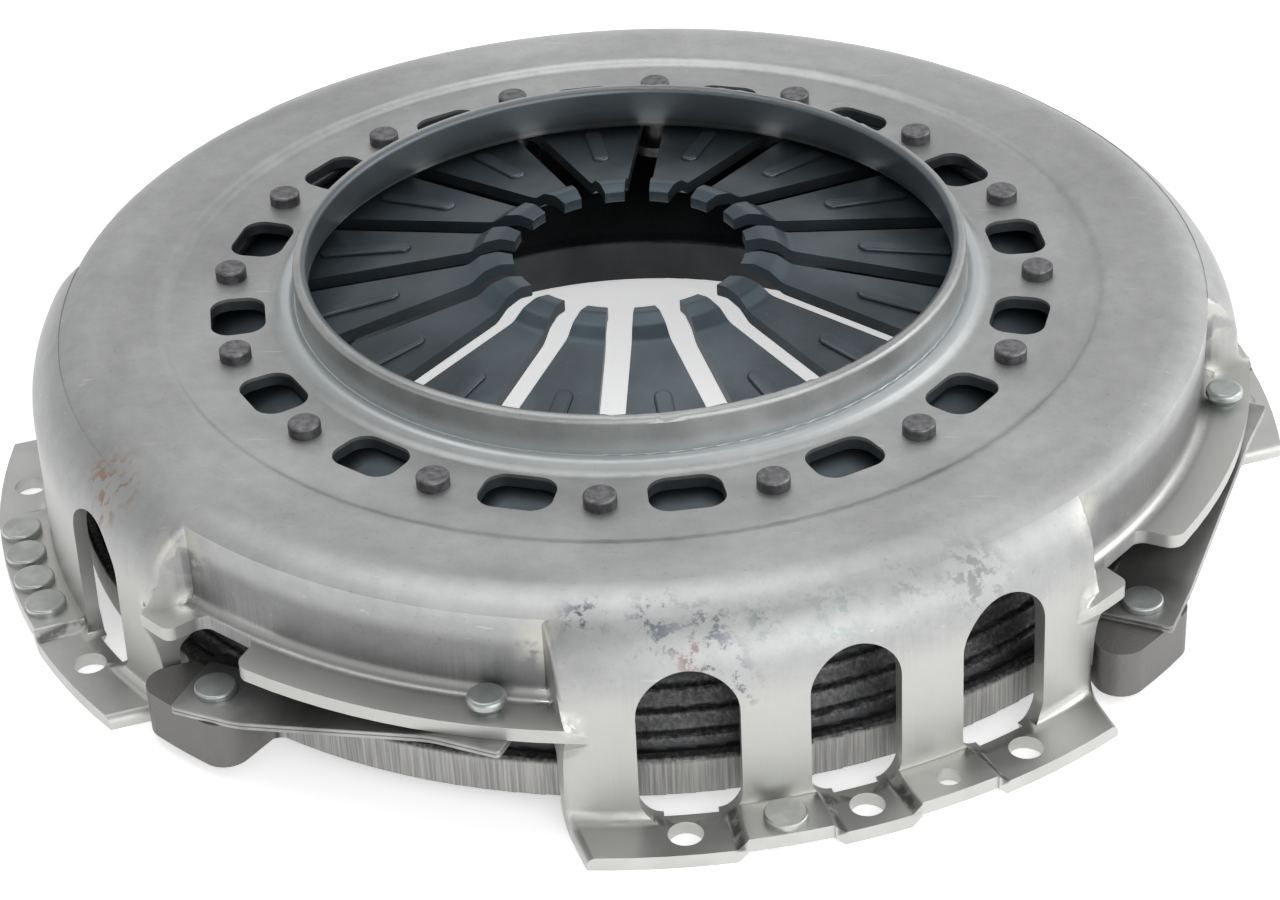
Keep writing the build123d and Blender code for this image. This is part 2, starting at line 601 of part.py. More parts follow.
# ---- leaf straps and their rivets, one set in each gap between the feet ----
strap_names = ("back_right", "back_left", "front_left", "front_right")
strap_rise = anchor_stack_top - strap_stack - lug_top
for place, name in enumerate(strap_names):
    middle = strap_first + place * foot_pitch
    lug_spot = Vector(at(lug_rivet_radius, middle + lug_rivet_angle, lug_top))
    anchor_spot = Vector(at(anchor_radius, middle + anchor_angle, lug_top))
    along = (anchor_spot - lug_spot).normalized()
    length = (anchor_spot - lug_spot).length
    across = along.cross(Vector(0, 0, 1))
    for leaf, leaf_name in enumerate(("lower", "upper")):
        lift = leaf * (strap_thickness + fit_clearance)
        path = [
            (-strap_overhang, lift),
            (strap_flat, lift),
            (length - strap_flat, lift + strap_rise),
            (length + strap_overhang, lift + strap_rise),
        ]
        upper_edge = [(x, z + strap_thickness) for x, z in reversed(path)]
        with BuildPart() as strap:
            with BuildSketch(Plane(origin=lug_spot, x_dir=along, z_dir=across)):
                with BuildLine():
                    bend_radii = [0, strap_bend, strap_bend, 0] * 2
                    FilletPolyline(*path, *upper_edge, radius=bend_radii, close=True)
                make_face()
            extrude(amount=strap_width / 2, both=True)
            fillet(strap.edges().filter_by(Axis.Z), strap_corner)
            fillet(strap.edges().filter_by(Axis.Z, reverse=True), strap_edge)
            for spot in (lug_spot, anchor_spot):
                with Locations(spot):
                    Cylinder(strap_rivet_shank + strap_hole_clearance, far, mode=Mode.SUBTRACT)
        strap.part.label = f"strap_{name}_{leaf_name}"
        export_step(strap.part, f"parts/{strap.part.label}.step")

    # rivet that hangs the strap from the ledge of the cover
    with BuildPart() as anchor_rivet:
        strap_bottom = anchor_stack_top - strap_stack
        for radius, low, high in (
            (strap_tail_radius, strap_bottom - fit_clearance - strap_tail_height,
             strap_bottom - fit_clearance),
            (strap_rivet_shank, strap_bottom - fit_clearance, ledge_top + anchor_seat_gap),
            (anchor_head_radius, ledge_top + anchor_taper_height, ledge_top + anchor_head_height),
        ):
            with BuildSketch(Plane.XY.offset(low)):
                with Locations(anchor_spot.project_to_plane(Plane.XY)):
                    Circle(radius)
            extrude(amount=high - low)
        with Locations(anchor_spot + Vector(0, 0, ledge_top + anchor_seat_gap - lug_top)):
            Cone(strap_rivet_shank, anchor_head_radius, anchor_taper_height - anchor_seat_gap,
                 align=(Align.CENTER, Align.CENTER, Align.MIN))
        fillet(anchor_rivet.faces().sort_by(Axis.Z)[-1].edges(), anchor_head_edge)
    anchor_rivet.part.label = f"anchor_rivet_{name}"
    export_step(anchor_rivet.part, f"parts/{anchor_rivet.part.label}.step")

    # rivet that ties the strap to the lug of the cast plate
    with BuildPart() as lug_rivet:
        pocket_floor = friction_face + pocket_depth
        head_seat = lug_top + strap_stack + fit_clearance
        for radius, low, high in (
            (strap_tail_radius, pocket_floor - strap_tail_height, pocket_floor),
            (strap_rivet_shank, pocket_floor, head_seat),
            (lug_head_radius, head_seat, head_seat + lug_head_height),
        ):
            with BuildSketch(Plane.XY.offset(low)):
                with Locations(lug_spot.project_to_plane(Plane.XY)):
                    Circle(radius)
            extrude(amount=high - low)
        fillet(lug_rivet.faces().sort_by(Axis.Z)[-1].edges(), low_head_edge)
    lug_rivet.part.label = f"lug_rivet_{name}"
    export_step(lug_rivet.part, f"parts/{lug_rivet.part.label}.step")

# ---- balance rivets in the feet ----
for name, foot_angle, angles in (
    ("balance_rivet_front", foot_first + 3 * foot_pitch, (-pad_step,)),
    ("balance_rivets_right", foot_first, balance_row),
    ("balance_rivets_left", foot_first + 2 * foot_pitch, balance_row),
):
    with BuildPart() as balance_rivets:
        for radius, low, high in (
            (balance_tail_radius, pad_lift - balance_tail_height, pad_lift),
            (balance_hole_radius - fit_clearance, pad_lift, pad_lift + sheet),
            (balance_head_radius, pad_lift + sheet, pad_lift + sheet + balance_head_height),
        ):
            with BuildSketch(Plane.XY.offset(low)):
                with Locations(*[at(balance_radius, foot_angle + angle) for angle in angles]):
                    Circle(radius)
            extrude(amount=high - low)
        fillet(balance_rivets.faces().sort_by(Axis.Z)[-len(angles):].edges(), low_head_edge)
    balance_rivets.part.label = name
    export_step(balance_rivets.part, f"parts/{name}.step")
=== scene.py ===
# %% [markdown]
# # Clutch pressure plate
# A truck clutch is clamped by this part.  A pressed steel cover is bolted to the flywheel, a
# slotted spring sits under its crown between two wire rings, and a cast plate hangs from the
# cover on leaf straps.  The solids come from the CAD model.  Here they get their finishes, and
# the two kinds of piece that bend, the spring and the straps, are rebuilt so that they can.

import json
from math import cos, pi, radians, sin, tan

import bmesh
import bpy
from mathutils import Matrix, Vector
from mathutils.bvhtree import BVHTree


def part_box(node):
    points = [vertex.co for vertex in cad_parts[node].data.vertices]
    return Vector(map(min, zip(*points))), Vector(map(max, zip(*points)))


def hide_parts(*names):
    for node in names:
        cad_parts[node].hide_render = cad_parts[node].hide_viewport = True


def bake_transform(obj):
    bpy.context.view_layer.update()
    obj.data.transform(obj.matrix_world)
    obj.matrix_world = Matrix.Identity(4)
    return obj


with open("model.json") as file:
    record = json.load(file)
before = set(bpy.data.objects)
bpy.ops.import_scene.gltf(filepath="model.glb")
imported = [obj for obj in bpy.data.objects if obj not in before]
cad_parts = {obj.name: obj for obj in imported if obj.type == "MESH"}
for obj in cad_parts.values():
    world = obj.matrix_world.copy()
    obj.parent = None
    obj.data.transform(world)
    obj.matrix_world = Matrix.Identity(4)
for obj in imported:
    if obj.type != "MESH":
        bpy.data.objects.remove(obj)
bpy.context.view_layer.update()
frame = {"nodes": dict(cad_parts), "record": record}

# %% [markdown]
# ## Camera
# The part is seen from the front, a little from the right, through a long lens.  A camera could be
# aimed with a Track To constraint, but that keeps it level.  A camera looks along its own -Z, so
# here its matrix is built from three unit arrows: to the right, up, and back towards the viewer.
# That lets it have the small roll of a camera held in the hand.

# %% Camera
camera_data = bpy.data.cameras.new("camera")
camera_data.sensor_width = 36.0
camera_data.lens = 91.93
camera_data.clip_start = 0.01
camera = bpy.data.objects.new("camera", camera_data)
bpy.context.scene.collection.objects.link(camera)
bpy.context.scene.camera = camera

turn, tilt, roll = radians(5.264), radians(33.368), radians(-2.820)
back = Vector((sin(turn) * cos(tilt), -cos(turn) * cos(tilt), sin(tilt)))
level = Vector((cos(turn), sin(turn), 0.0))
upright = back.cross(level)
right = level * cos(roll) + upright * sin(roll)
up = upright * cos(roll) - level * sin(roll)
camera_place = (0.085316, -0.922760, 0.611847)
camera.matrix_world = Matrix.Translation(camera_place) @ Matrix((right, up, back)).transposed().to_4x4()
print("camera", tuple(round(v, 3) for v in camera.location))

# %% [markdown]
# ## Studio
# Bare steel shows what stands round it, so the studio is most of the look.  A picture of a real
# room could be wrapped round the scene, but a few nodes are easier to tune.  The camera sees plain
# white.  Reflections see a pale backdrop, weaker at the left than at the right, under a dimmer
# ceiling that gives the metal its darks.  All other light from the world is lower and even.

# %% World
bpy.context.scene.view_settings.view_transform = "Standard"
world = bpy.data.worlds.new("studio")
bpy.context.scene.world = world
world.use_nodes = True
world_nodes = world.node_tree.nodes
world_links = world.node_tree.links
background = world_nodes["Background"]
background.inputs["Color"].default_value = (1.0, 1.0, 1.0, 1.0)


def lerp(nodes, links, amount, low, high):
    """A number that goes from low to high while the amount goes from 0 to 1."""
    node = nodes.new("ShaderNodeMapRange")
    for value, name in ((amount, "Value"), (low, "To Min"), (high, "To Max")):
        if isinstance(value, bpy.types.NodeSocket):
            links.new(value, node.inputs[name])
        else:
            node.inputs[name].default_value = value
    return node.outputs["Result"]


def combined(nodes, links, operation, first, second):
    """Two numbers joined by a maths operation."""
    node = nodes.new("ShaderNodeMath")
    node.operation = operation
    links.new(first, node.inputs[0])
    links.new(second, node.inputs[1])
    return node.outputs[0]


dim_level, ceiling_level = 0.45, 0.45
left_level, right_level = 0.70, 1.15
ceiling_start, ceiling_end = radians(17), radians(50)
sky_direction = world_nodes.new("ShaderNodeTexCoord").outputs["Generated"]
sky_axes = world_nodes.new("ShaderNodeSeparateXYZ")
world_links.new(sky_direction, sky_axes.inputs[0])
ceiling = world_nodes.new("ShaderNodeMapRange")
ceiling.interpolation_type = "SMOOTHSTEP"
ceiling.inputs["From Min"].default_value = sin(ceiling_start)
ceiling.inputs["From Max"].default_value = sin(ceiling_end)
world_links.new(sky_axes.outputs["Z"], ceiling.inputs["Value"])
sideways = world_nodes.new("ShaderNodeMapRange")
for value, name in ((-1.0, "From Min"), (1.0, "From Max"), (left_level, "To Min"), (right_level, "To Max")):
    sideways.inputs[name].default_value = value
world_links.new(sky_axes.outputs["X"], sideways.inputs["Value"])
room = combined(world_nodes, world_links, "MULTIPLY", sideways.outputs["Result"], lerp(
    world_nodes, world_links, ceiling.outputs["Result"], 1.0, ceiling_level))
rays = world_nodes.new("ShaderNodeLightPath").outputs
reflected = combined(world_nodes, world_links, "MAXIMUM", rays["Is Glossy Ray"],
                     rays["Is Transmission Ray"])
lit = lerp(world_nodes, world_links, reflected, dim_level, room)
seen = lerp(world_nodes, world_links, rays["Is Camera Ray"], lit, 1.0)
world_links.new(seen, background.inputs["Strength"])
print("world nodes", len(world_nodes))

# %% [markdown]
# ### Floor
# The floor is white paper.  The white world alone would do as a backdrop, but the part needs a
# sheet that takes its shadow.  To the camera and in reflections the paper glows a little, as over
# a light table, so that the shadow under the part stays pale and the steel walls, which mirror the
# floor, stay bright.

# %% Floor


def add_object(name, mesh):
    """Put a mesh into the scene under a name."""
    thing = bpy.data.objects.new(name, mesh)
    bpy.context.scene.collection.objects.link(thing)
    return thing


floor_reach, floor_glow = 6.0, 0.55
floor_mesh = bpy.data.meshes.new("floor")
shape = bmesh.new()
bmesh.ops.create_grid(shape, x_segments=1, y_segments=1, size=floor_reach)
shape.to_mesh(floor_mesh)
shape.free()
floor = add_object("floor", floor_mesh)
floor_material = bpy.data.materials.new("floor_paper")
floor_material.use_nodes = True
paper_nodes = floor_material.node_tree.nodes
paper_links = floor_material.node_tree.links
paper = paper_nodes["Principled BSDF"]
paper.inputs["Base Color"].default_value = (0.93, 0.93, 0.93, 1.0)
paper.inputs["Roughness"].default_value = 0.9
paper.inputs["Emission Color"].default_value = (1.0, 1.0, 1.0, 1.0)
paper_rays = paper_nodes.new("ShaderNodeLightPath").outputs
looked_at = combined(paper_nodes, paper_links, "MAXIMUM", paper_rays["Is Camera Ray"], combined(
    paper_nodes, paper_links, "MAXIMUM", paper_rays["Is Glossy Ray"], paper_rays["Is Transmission Ray"]))
glow = lerp(paper_nodes, paper_links, looked_at, 0.0, floor_glow)
paper_links.new(glow, paper.inputs["Emission Strength"])
floor_mesh.materials.append(floor_material)
print("floor corners", [tuple(vertex.co.xy) for vertex in floor_mesh.vertices])

# %% [markdown]
# ### Lamps
# Three soft boxes light the part: one overhead, one in front and one at the right.  Sun lamps or
# spots would leave hard shadows and small hot glints on steel, so these are area lamps, each
# about as large as a window.

# %% Lamps


def soft_lamp(name, place, aim, width, height, power):
    """A rectangular lamp that faces a point."""
    data = bpy.data.lights.new(name, "AREA")
    data.shape = "RECTANGLE"
    data.size = width
    data.size_y = height
    data.energy = power
    lamp = bpy.data.objects.new(name, data)
    lamp.location = place
    lamp.rotation_euler = (Vector(aim) - Vector(place)).to_track_quat("-Z", "Y").to_euler()
    bpy.context.scene.collection.objects.link(lamp)
    return lamp


soft_lamp("lamp_overhead", (-0.25, 0.35, 1.55), (0, 0, 0.05), 1.6, 1.1, 8.5)
soft_lamp("lamp_front", (0.95, -1.4, 0.95), (0.05, -0.1, 0.05), 1.8, 1.3, 12.5)
soft_lamp("lamp_right", (1.45, 0.20, 0.75), (0.10, 0, 0.05), 0.9, 0.9, 6.5)

# %% [markdown]
# ## Finishes
# Each finish is a Principled shader with a few patterns joined to its colour, its roughness and
# its bumps.  All patterns use object coordinates, which here are metres in the frame, so a mask
# can say "round this circle" or "near this spot".  A painted picture would need the solids to be
# unwrapped first, and these need nothing.  The small class keeps the joining short.

# %% Tools for finishes


class Finish:
    """A material being made, with short ways to add its nodes."""

    def __init__(self, name, color, metallic, roughness):
        self.material = bpy.data.materials.new(name)
        self.material.use_nodes = True
        self.tree = self.material.node_tree
        self.shader = self.tree.nodes["Principled BSDF"]
        self.shader.inputs["Metallic"].default_value = metallic
        self.shader.inputs["Specular IOR Level"].default_value = 0.5
        self.color = (*color, 1.0)
        self.roughness = roughness
        self.height = 0.0
        self.place = self.tree.nodes.new("ShaderNodeTexCoord").outputs["Object"]
        axes = self.tree.nodes.new("ShaderNodeSeparateXYZ")
        self.join(self.place, axes.inputs[0])
        self.x, self.y, self.z = axes.outputs
        self.radius = self.math("SQRT", self.math(
            "ADD", self.math("MULTIPLY", self.x, self.x), self.math("MULTIPLY", self.y, self.y)))

    def join(self, value, socket):
        """Give a socket a number, a colour, a vector or the output of another node."""
        if isinstance(value, bpy.types.NodeSocket):
            self.tree.links.new(value, socket)
        else:
            socket.default_value = value

    def math(self, operation, *values):
        """Numbers joined by a maths operation."""
        node = self.tree.nodes.new("ShaderNodeMath")
        node.operation = operation
        for value, socket in zip(values, node.inputs):
            self.join(value, socket)
        return node.outputs[0]

    def vector(self, x, y, z):
        """Three numbers as one vector."""
        node = self.tree.nodes.new("ShaderNodeCombineXYZ")
        for value, socket in zip((x, y, z), node.inputs):
            self.join(value, socket)
        return node.outputs[0]

    def noise(self, scale, detail=2.0, where=None, roughness=0.5):
        """Cloudy pattern round 0.5; scale counts its lumps per metre."""
        node = self.tree.nodes.new("ShaderNodeTexNoise")
        self.join(where or self.place, node.inputs["Vector"])
        node.inputs["Scale"].default_value = scale
        node.inputs["Detail"].default_value = detail
        node.inputs["Roughness"].default_value = roughness
        return node.outputs["Fac"]

    def rise(self, value, low, high, bottom=0.0, top=1.0):
        """Smooth step from bottom to top while the value goes from low to high."""
        node = self.tree.nodes.new("ShaderNodeMapRange")
        node.interpolation_type = "SMOOTHSTEP"
        for item, name in ((value, "Value"), (low, "From Min"), (high, "From Max"),
                           (bottom, "To Min"), (top, "To Max")):
            self.join(item, node.inputs[name])
        return node.outputs["Result"]

    def times(self, *values):
        """All the values multiplied."""
        total = values[0]
        for value in values[1:]:
            total = self.math("MULTIPLY", total, value)
        return total

    def fall(self, value, low, high):
        """Smooth step from 1 to 0 while the value goes from low to high."""
        return self.rise(value, low, high, 1.0, 0.0)

    def inside(self, value, low, high, edge):
        """1 while the value is between low and high, fading over the edge outside them."""
        return self.times(self.rise(value, low - edge, low), self.fall(value, high, high + edge))

    def near(self, spot, reach, where=None):
        """1 at a spot, fading to 0 at the reach."""
        node = self.tree.nodes.new("ShaderNodeVectorMath")
        node.operation = "DISTANCE"
        self.join(where or self.place, node.inputs[0])
        node.inputs[1].default_value = spot
        return self.fall(node.outputs["Value"], 0.0, reach)

    def near_circle(self, radius, height, reach):
        """1 on a circle about the axis, fading to 0 at the reach."""
        return self.near((radius, 0.0, height), reach, self.vector(self.radius, 0.0, self.z))

    def mix(self, kind, amount, color):
        """Mix a colour over the one so far.  The node's colour sockets are its last ones."""
        node = self.tree.nodes.new("ShaderNodeMix")
        node.data_type = "RGBA"
        node.blend_type = kind
        self.join(amount, node.inputs[0])
        self.join(self.color, node.inputs[6])
        self.join(color, node.inputs[7])
        self.color = node.outputs[2]

    def paint(self, color, amount):
        """Lay a colour over what is there."""
        self.mix("MIX", amount, (*color, 1.0))

    def shade(self, amount):
        """Darken or lighten the colour by a factor."""
        self.mix("MULTIPLY", 1.0, amount)

    def polish(self, roughness, amount):
        """Move the roughness towards a value."""
        self.roughness = self.math("ADD", self.roughness, self.times(
            amount, self.math("SUBTRACT", roughness, self.roughness)))

    def emboss(self, height, amount):
        """Add a pattern to the bumps; amount is how deep it is, in metres."""
        self.height = self.math("ADD", self.height, self.times(height, amount))

    def lighten(self, mask, share):
        """Lighten by a share where the mask is 1; below 0 it darkens."""
        self.shade(self.math("ADD", 1.0, self.times(mask, share)))

    def done(self):
        """Join the finished patterns to the shader."""
        self.join(self.color, self.shader.inputs["Base Color"])
        self.join(self.roughness, self.shader.inputs["Roughness"])
        if isinstance(self.height, bpy.types.NodeSocket):
            bump = self.tree.nodes.new("ShaderNodeBump")
            bump.inputs["Distance"].default_value = 1.0
            self.join(self.height, bump.inputs["Height"])
            self.join(bump.outputs["Normal"], self.shader.inputs["Normal"])
        print("finish", self.material.name, "nodes", len(self.tree.nodes))
        return self.material


finishes = {}

# %% [markdown]
# ### Pressed cover
# The sheet is drawn over a die.  It keeps fine vertical marks on its walls, mirror spots where
# it slid over the bends, dark walls in the coined windows, and some rust and old smudges.  One
# even metal would look like plastic, so the base steel is mottled first, then wiped in broad
# smears round the axis, and the marks come on top.  A noise is stretched by scaling its vector:
# the less a direction is scaled, the longer the marks run in it.

# %% Cover sheet: steel, die marks and specks
ledge_heights = (0.034, 0.0405)
ledge_radii = (0.190, 0.192)
wall_radii = (0.1845, 0.1865)
wall_heights = (0.014, 0.046)
cover = Finish("cover_sheet", (0.41, 0.416, 0.413), 0.88, 0.46)
cover.shade(cover.rise(cover.noise(14.0, 4.0), 0.3, 0.7, 0.92, 1.06))
cover.shade(cover.rise(cover.noise(150.0, 5.0, None, 0.7), 0.3, 0.7, 0.94, 1.05))
cos_around = cover.math("DIVIDE", cover.x, cover.radius)
sin_around = cover.math("DIVIDE", cover.y, cover.radius)
wiped = cover.noise(1.0, 4.0, cover.vector(
    cover.times(cos_around, 2.2), cover.times(sin_around, 2.2), cover.times(cover.radius, 38.0)), 0.6)
cover.shade(cover.rise(wiped, 0.3, 0.7, 0.90, 1.08))
cover.polish(cover.rise(wiped, 0.3, 0.7, 0.38, 0.54), 0.8)
upright_marks = cover.noise(1.0, 4.0, cover.vector(
    cover.times(cos_around, 260.0), cover.times(sin_around, 260.0), cover.times(cover.z, 12.0)), 0.7)
off_ledge = cover.math("SUBTRACT", 1.0, cover.times(
    cover.inside(cover.z, *ledge_heights, 0.001), cover.rise(cover.radius, *ledge_radii)))
on_wall = cover.times(cover.rise(cover.radius, *wall_radii), cover.inside(cover.z, *wall_heights, 0.014),
                      off_ledge, cover.rise(cover.noise(22.0, 2.0), 0.35, 0.6))
cover.lighten(on_wall, cover.rise(upright_marks, 0.3, 0.7, -0.13, 0.12))
cover.emboss(cover.times(on_wall, upright_marks), 0.00003)
turned_marks = cover.noise(1.0, 2.0, cover.vector(
    cover.times(cover.x, 8.0), cover.times(cover.y, 8.0), cover.times(cover.radius, 500.0)), 0.6)
cover.emboss(turned_marks, 0.000012)
specks = cover.noise(900.0, 1.0)
cover.shade(cover.rise(specks, 0.25, 0.33, 0.86, 1.0))
scratches = cover.noise(1.0, 2.0, cover.vector(
    cover.times(cover.x, 40.0), cover.times(cover.y, 420.0), cover.times(cover.z, 420.0)))
cover.paint((0.66, 0.67, 0.66), cover.times(cover.rise(scratches, 0.71, 0.76), 0.35))

# %% [markdown]
# Where the sheet slid over the die it is burnished, which its lower roughness shows: along the
# bend over the straps, at the bottom of the legs, and in small spots at the corners of the feet.
# The bends also get a painted highlight and the spots painted glints.  The legs, the flange and
# the bead round the lip get painted light, the bead a little blue, and the corners higher up are
# scuffed to a warm pale grey.  Three broad tones are painted light and shade, because the lamps
# alone don't give them: the shoulder at the front and the right and the back of the crown are
# lighter, and the wall behind the straps is darker.

# %% Cover sheet: polished bends, painted highlights, painted light and shade


def radial(angle, radius):
    """Point at an angle and a radius about the axis."""
    return Vector((cos(angle) * radius, sin(angle) * radius, 0.0))


first_foot = 22.5
foot_turn = 90
leg_radii, leg_heights = (0.1905, 0.1925), (0.042, 0.056)
flange_radii, flange_heights = (0.1990, 0.2015), (0.0085, 0.0110)
shoulder_radius, shoulder_height, shoulder_reach = 0.1855, 0.0695, 0.013
recess_radii, beyond_recess = (0.1840, 0.1865), (0.1885, 0.1895)
glints = ((23.5, 0.2000, 0.0400, 0.0055), (26.2, 0.1895, 0.0415, 0.0065))
scuff_angle, scuff_radius, scuff_height, scuff_reach = 26.3, 0.1885, 0.0590, 0.013
wear_and_highlight_patches = cover.rise(cover.noise(70.0, 2.0), 0.38, 0.56)
# Painted light: the legs are made paler.
painted_leg_light = cover.times(cover.rise(cover.radius, *leg_radii), cover.fall(cover.z, *leg_heights))
cover.paint((0.54, 0.54, 0.52), cover.times(painted_leg_light, 0.8))
# Painted light on the flange, in patches.
painted_flange_light = cover.times(cover.rise(cover.radius, *flange_radii), cover.fall(cover.z, *flange_heights))
flange_light_patches = cover.rise(cover.noise(60.0, 4.0), 0.35, 0.65, 0.4, 0.95)
cover.paint((0.60, 0.60, 0.585), cover.times(painted_flange_light, flange_light_patches))
# Painted light on the shoulder at the front and the right.
painted_shoulder_light = cover.times(
    cover.near_circle(shoulder_radius, shoulder_height, shoulder_reach), cover.rise(cover.z, 0.0610, 0.0680),
    cover.rise(cover.math("SUBTRACT", cover.x, cover.y), 0.02, 0.20))
cover.lighten(painted_shoulder_light, 0.28)
# Painted light on the bead round the lip, a little blue.
painted_bead_light = cover.near_circle(0.1120, 0.0725, 0.0070)
cover.paint((0.60, 0.635, 0.65), cover.times(painted_bead_light, 0.8))
# Painted light on the back of the crown.
painted_crown_back_light = cover.times(cover.rise(cover.y, 0.10, 0.20), cover.rise(cover.z, 0.0640, 0.0710))
cover.lighten(painted_crown_back_light, 0.30)
# Painted shade on the wall behind the straps.
painted_shade_behind_straps = cover.times(
    cover.fall(cover.radius, *beyond_recess), cover.rise(cover.radius, *recess_radii),
    cover.inside(cover.z, 0.036, 0.056, 0.006))
cover.shade(cover.math("SUBTRACT", 1.0, cover.times(painted_shade_behind_straps, 0.38)))
# Polished bends, each also lightened as a painted highlight.
ledge_bend_polish_and_highlight = cover.near_circle(0.1895, 0.0425, 0.0036)
leg_foot_polish_and_highlight = cover.times(cover.near_circle(0.2000, 0.0062, 0.0036), wear_and_highlight_patches)
for bend, strength in ((ledge_bend_polish_and_highlight, 0.8), (leg_foot_polish_and_highlight, 0.6)):
    cover.polish(0.18, bend)
    cover.paint((0.72, 0.71, 0.68), cover.times(bend, strength))
# Painted glints at the corners of the feet, also polished; the scuffs are wear.
for foot in range(4):
    for side in (-1, 1):
        middle = first_foot + foot_turn * foot
        for offset, out, height, reach in glints:
            spot = radial(radians(middle + side * offset), out)
            glint = cover.near((spot.x, spot.y, height), reach)
            cover.polish(0.10, glint)
            cover.paint((0.68, 0.68, 0.66), cover.times(
                glint, cover.rise(cover.noise(160.0, 2.0), 0.44, 0.56), 0.9))
        scuff = radial(radians(middle + side * scuff_angle), scuff_radius)
        scuffed = cover.near((scuff.x, scuff.y, scuff_height), scuff_reach)
        cover.paint((0.66, 0.64, 0.58), cover.times(
            scuffed, cover.rise(cover.noise(110.0, 3.0), 0.42, 0.52), 0.75))

# %% [markdown]
# The inside of the lip gets a painted shade, a little blue.  The walls of the coined windows of the
# crown get a painted shade, near black.  The flange gets a painted shade in a groove at each slope
# of its pressed-up stretches.

# %% Cover sheet: lip, coined windows and flange grooves
lip_radii = (0.1064, 0.1075)
window_radii, window_edge = (0.1188, 0.1385), 0.0006
flange_bend_radii = (0.1965, 0.1990)
groove_half_width, groove_edge = 0.15, 0.45
foot_grooves = ((first_foot, (9.7,)), (first_foot + foot_turn, (3.02, 10.98)))
# Painted shade inside the lip, a little blue.
painted_lip_shade = cover.fall(cover.radius, *lip_radii)
cover.paint((0.125, 0.145, 0.160), cover.times(painted_lip_shade, cover.rise(cover.z, 0.0700, 0.0790, 0.72, 0.90)))
# Painted shade on the walls of the coined windows.
coined_wall_shade = cover.times(cover.inside(cover.radius, *window_radii, window_edge),
                     cover.fall(cover.z, 0.0685, 0.0692))
cover.paint((0.075, 0.09, 0.105), cover.times(coined_wall_shade, 0.85))
on_flange = cover.times(
    cover.rise(cover.radius, *flange_bend_radii), cover.fall(cover.z, 0.0072, 0.0085),
    cover.rise(cover.z, 0.0035, 0.0046))
# Painted shade in a groove at each slope of the pressed-up flange.
for foot_middle, grooves in foot_grooves:
    foot_x, foot_y = radial(radians(foot_middle), 1.0).xy
    ahead = cover.math("ADD", cover.times(cover.x, foot_x), cover.times(cover.y, foot_y))
    aside = cover.math("SUBTRACT", cover.times(cover.y, foot_x), cover.times(cover.x, foot_y))
    off_middle = cover.math("ABSOLUTE", cover.math("ARCTAN2", aside, cover.math("ABSOLUTE", ahead)))
    for groove in grooves:
        groove_shade = cover.inside(off_middle, radians(groove - groove_half_width),
                            radians(groove + groove_half_width), radians(groove_edge))
        cover.paint((0.10, 0.10, 0.10), cover.times(
            groove_shade, on_flange, cover.rise(cover.noise(240.0, 3.0), 0.30, 0.55), 0.85))

# %% [markdown]
# A part that has been handled is not clean.  One foot has some rust over its window, and the next
# one has dark and bluish smudges of old marking paint.  Each is a soft ball round a spot, broken
# up by noise, and noise stretched along the axis makes the rust run down the wall.

# %% Cover sheet: rust and smudges
rust_spots = (
    ((-0.1515, -0.1130, 0.0660), 0.014),
    ((-0.1447, -0.1208, 0.0667), 0.008),
    ((-0.1515, -0.1215, 0.0600), 0.009),
)
rust_noise = cover.rise(cover.noise(1.0, 4.0, cover.vector(
    cover.times(cover.x, 330.0), cover.times(cover.y, 330.0), cover.times(cover.z, 130.0))), 0.50, 0.60)
for spot, reach in rust_spots:
    rust = cover.times(cover.near(spot, reach), rust_noise)
    cover.paint((0.36, 0.21, 0.12), cover.times(rust, 0.8))
    cover.polish(0.7, rust)
smudge_noise = cover.rise(cover.noise(210.0, 6.0, None, 0.7), 0.50, 0.57)
smudges = (
    ((-0.0010, -0.1860, 0.0685), 0.010, (0.07, 0.09, 0.13), 0.9),
    ((0.0190, -0.1860, 0.0680), 0.013, (0.13, 0.16, 0.20), 0.8),
    ((0.0340, -0.1860, 0.0660), 0.011, (0.15, 0.17, 0.20), 0.8),
    ((0.0215, -0.1915, 0.0625), 0.007, (0.14, 0.16, 0.18), 0.8),
    ((0.0370, -0.1920, 0.0570), 0.012, (0.12, 0.14, 0.17), 0.9),
    ((0.0430, -0.1930, 0.0480), 0.010, (0.14, 0.16, 0.18), 0.8),
    ((0.0300, -0.1930, 0.0590), 0.008, (0.26, 0.14, 0.12), 0.8),
    ((0.0490, -0.1830, 0.0655), 0.010, (0.24, 0.28, 0.28), 0.7),
    ((0.0710, -0.1800, 0.0630), 0.020, (0.30, 0.35, 0.33), 0.7),
    ((0.0910, -0.1670, 0.0650), 0.012, (0.28, 0.30, 0.29), 0.7),
    ((0.1090, -0.1575, 0.0620), 0.016, (0.20, 0.21, 0.21), 0.8),
)
for spot, reach, color, strength in smudges:
    cover.paint(color, cover.times(cover.near(spot, reach), smudge_noise, strength))
finishes["cover_sheet"] = cover.done()

# %% [markdown]
# ### Spring, rings and rivets
# Tempered spring steel is dark, a little blue where the tips were hardened again.  The rings are
# darker still, the stepped rivets a little paler, with painted light on top, and the strap and
# balance rivets are plated and pale.  They could share one steel, but told apart they show how the
# part is put together.

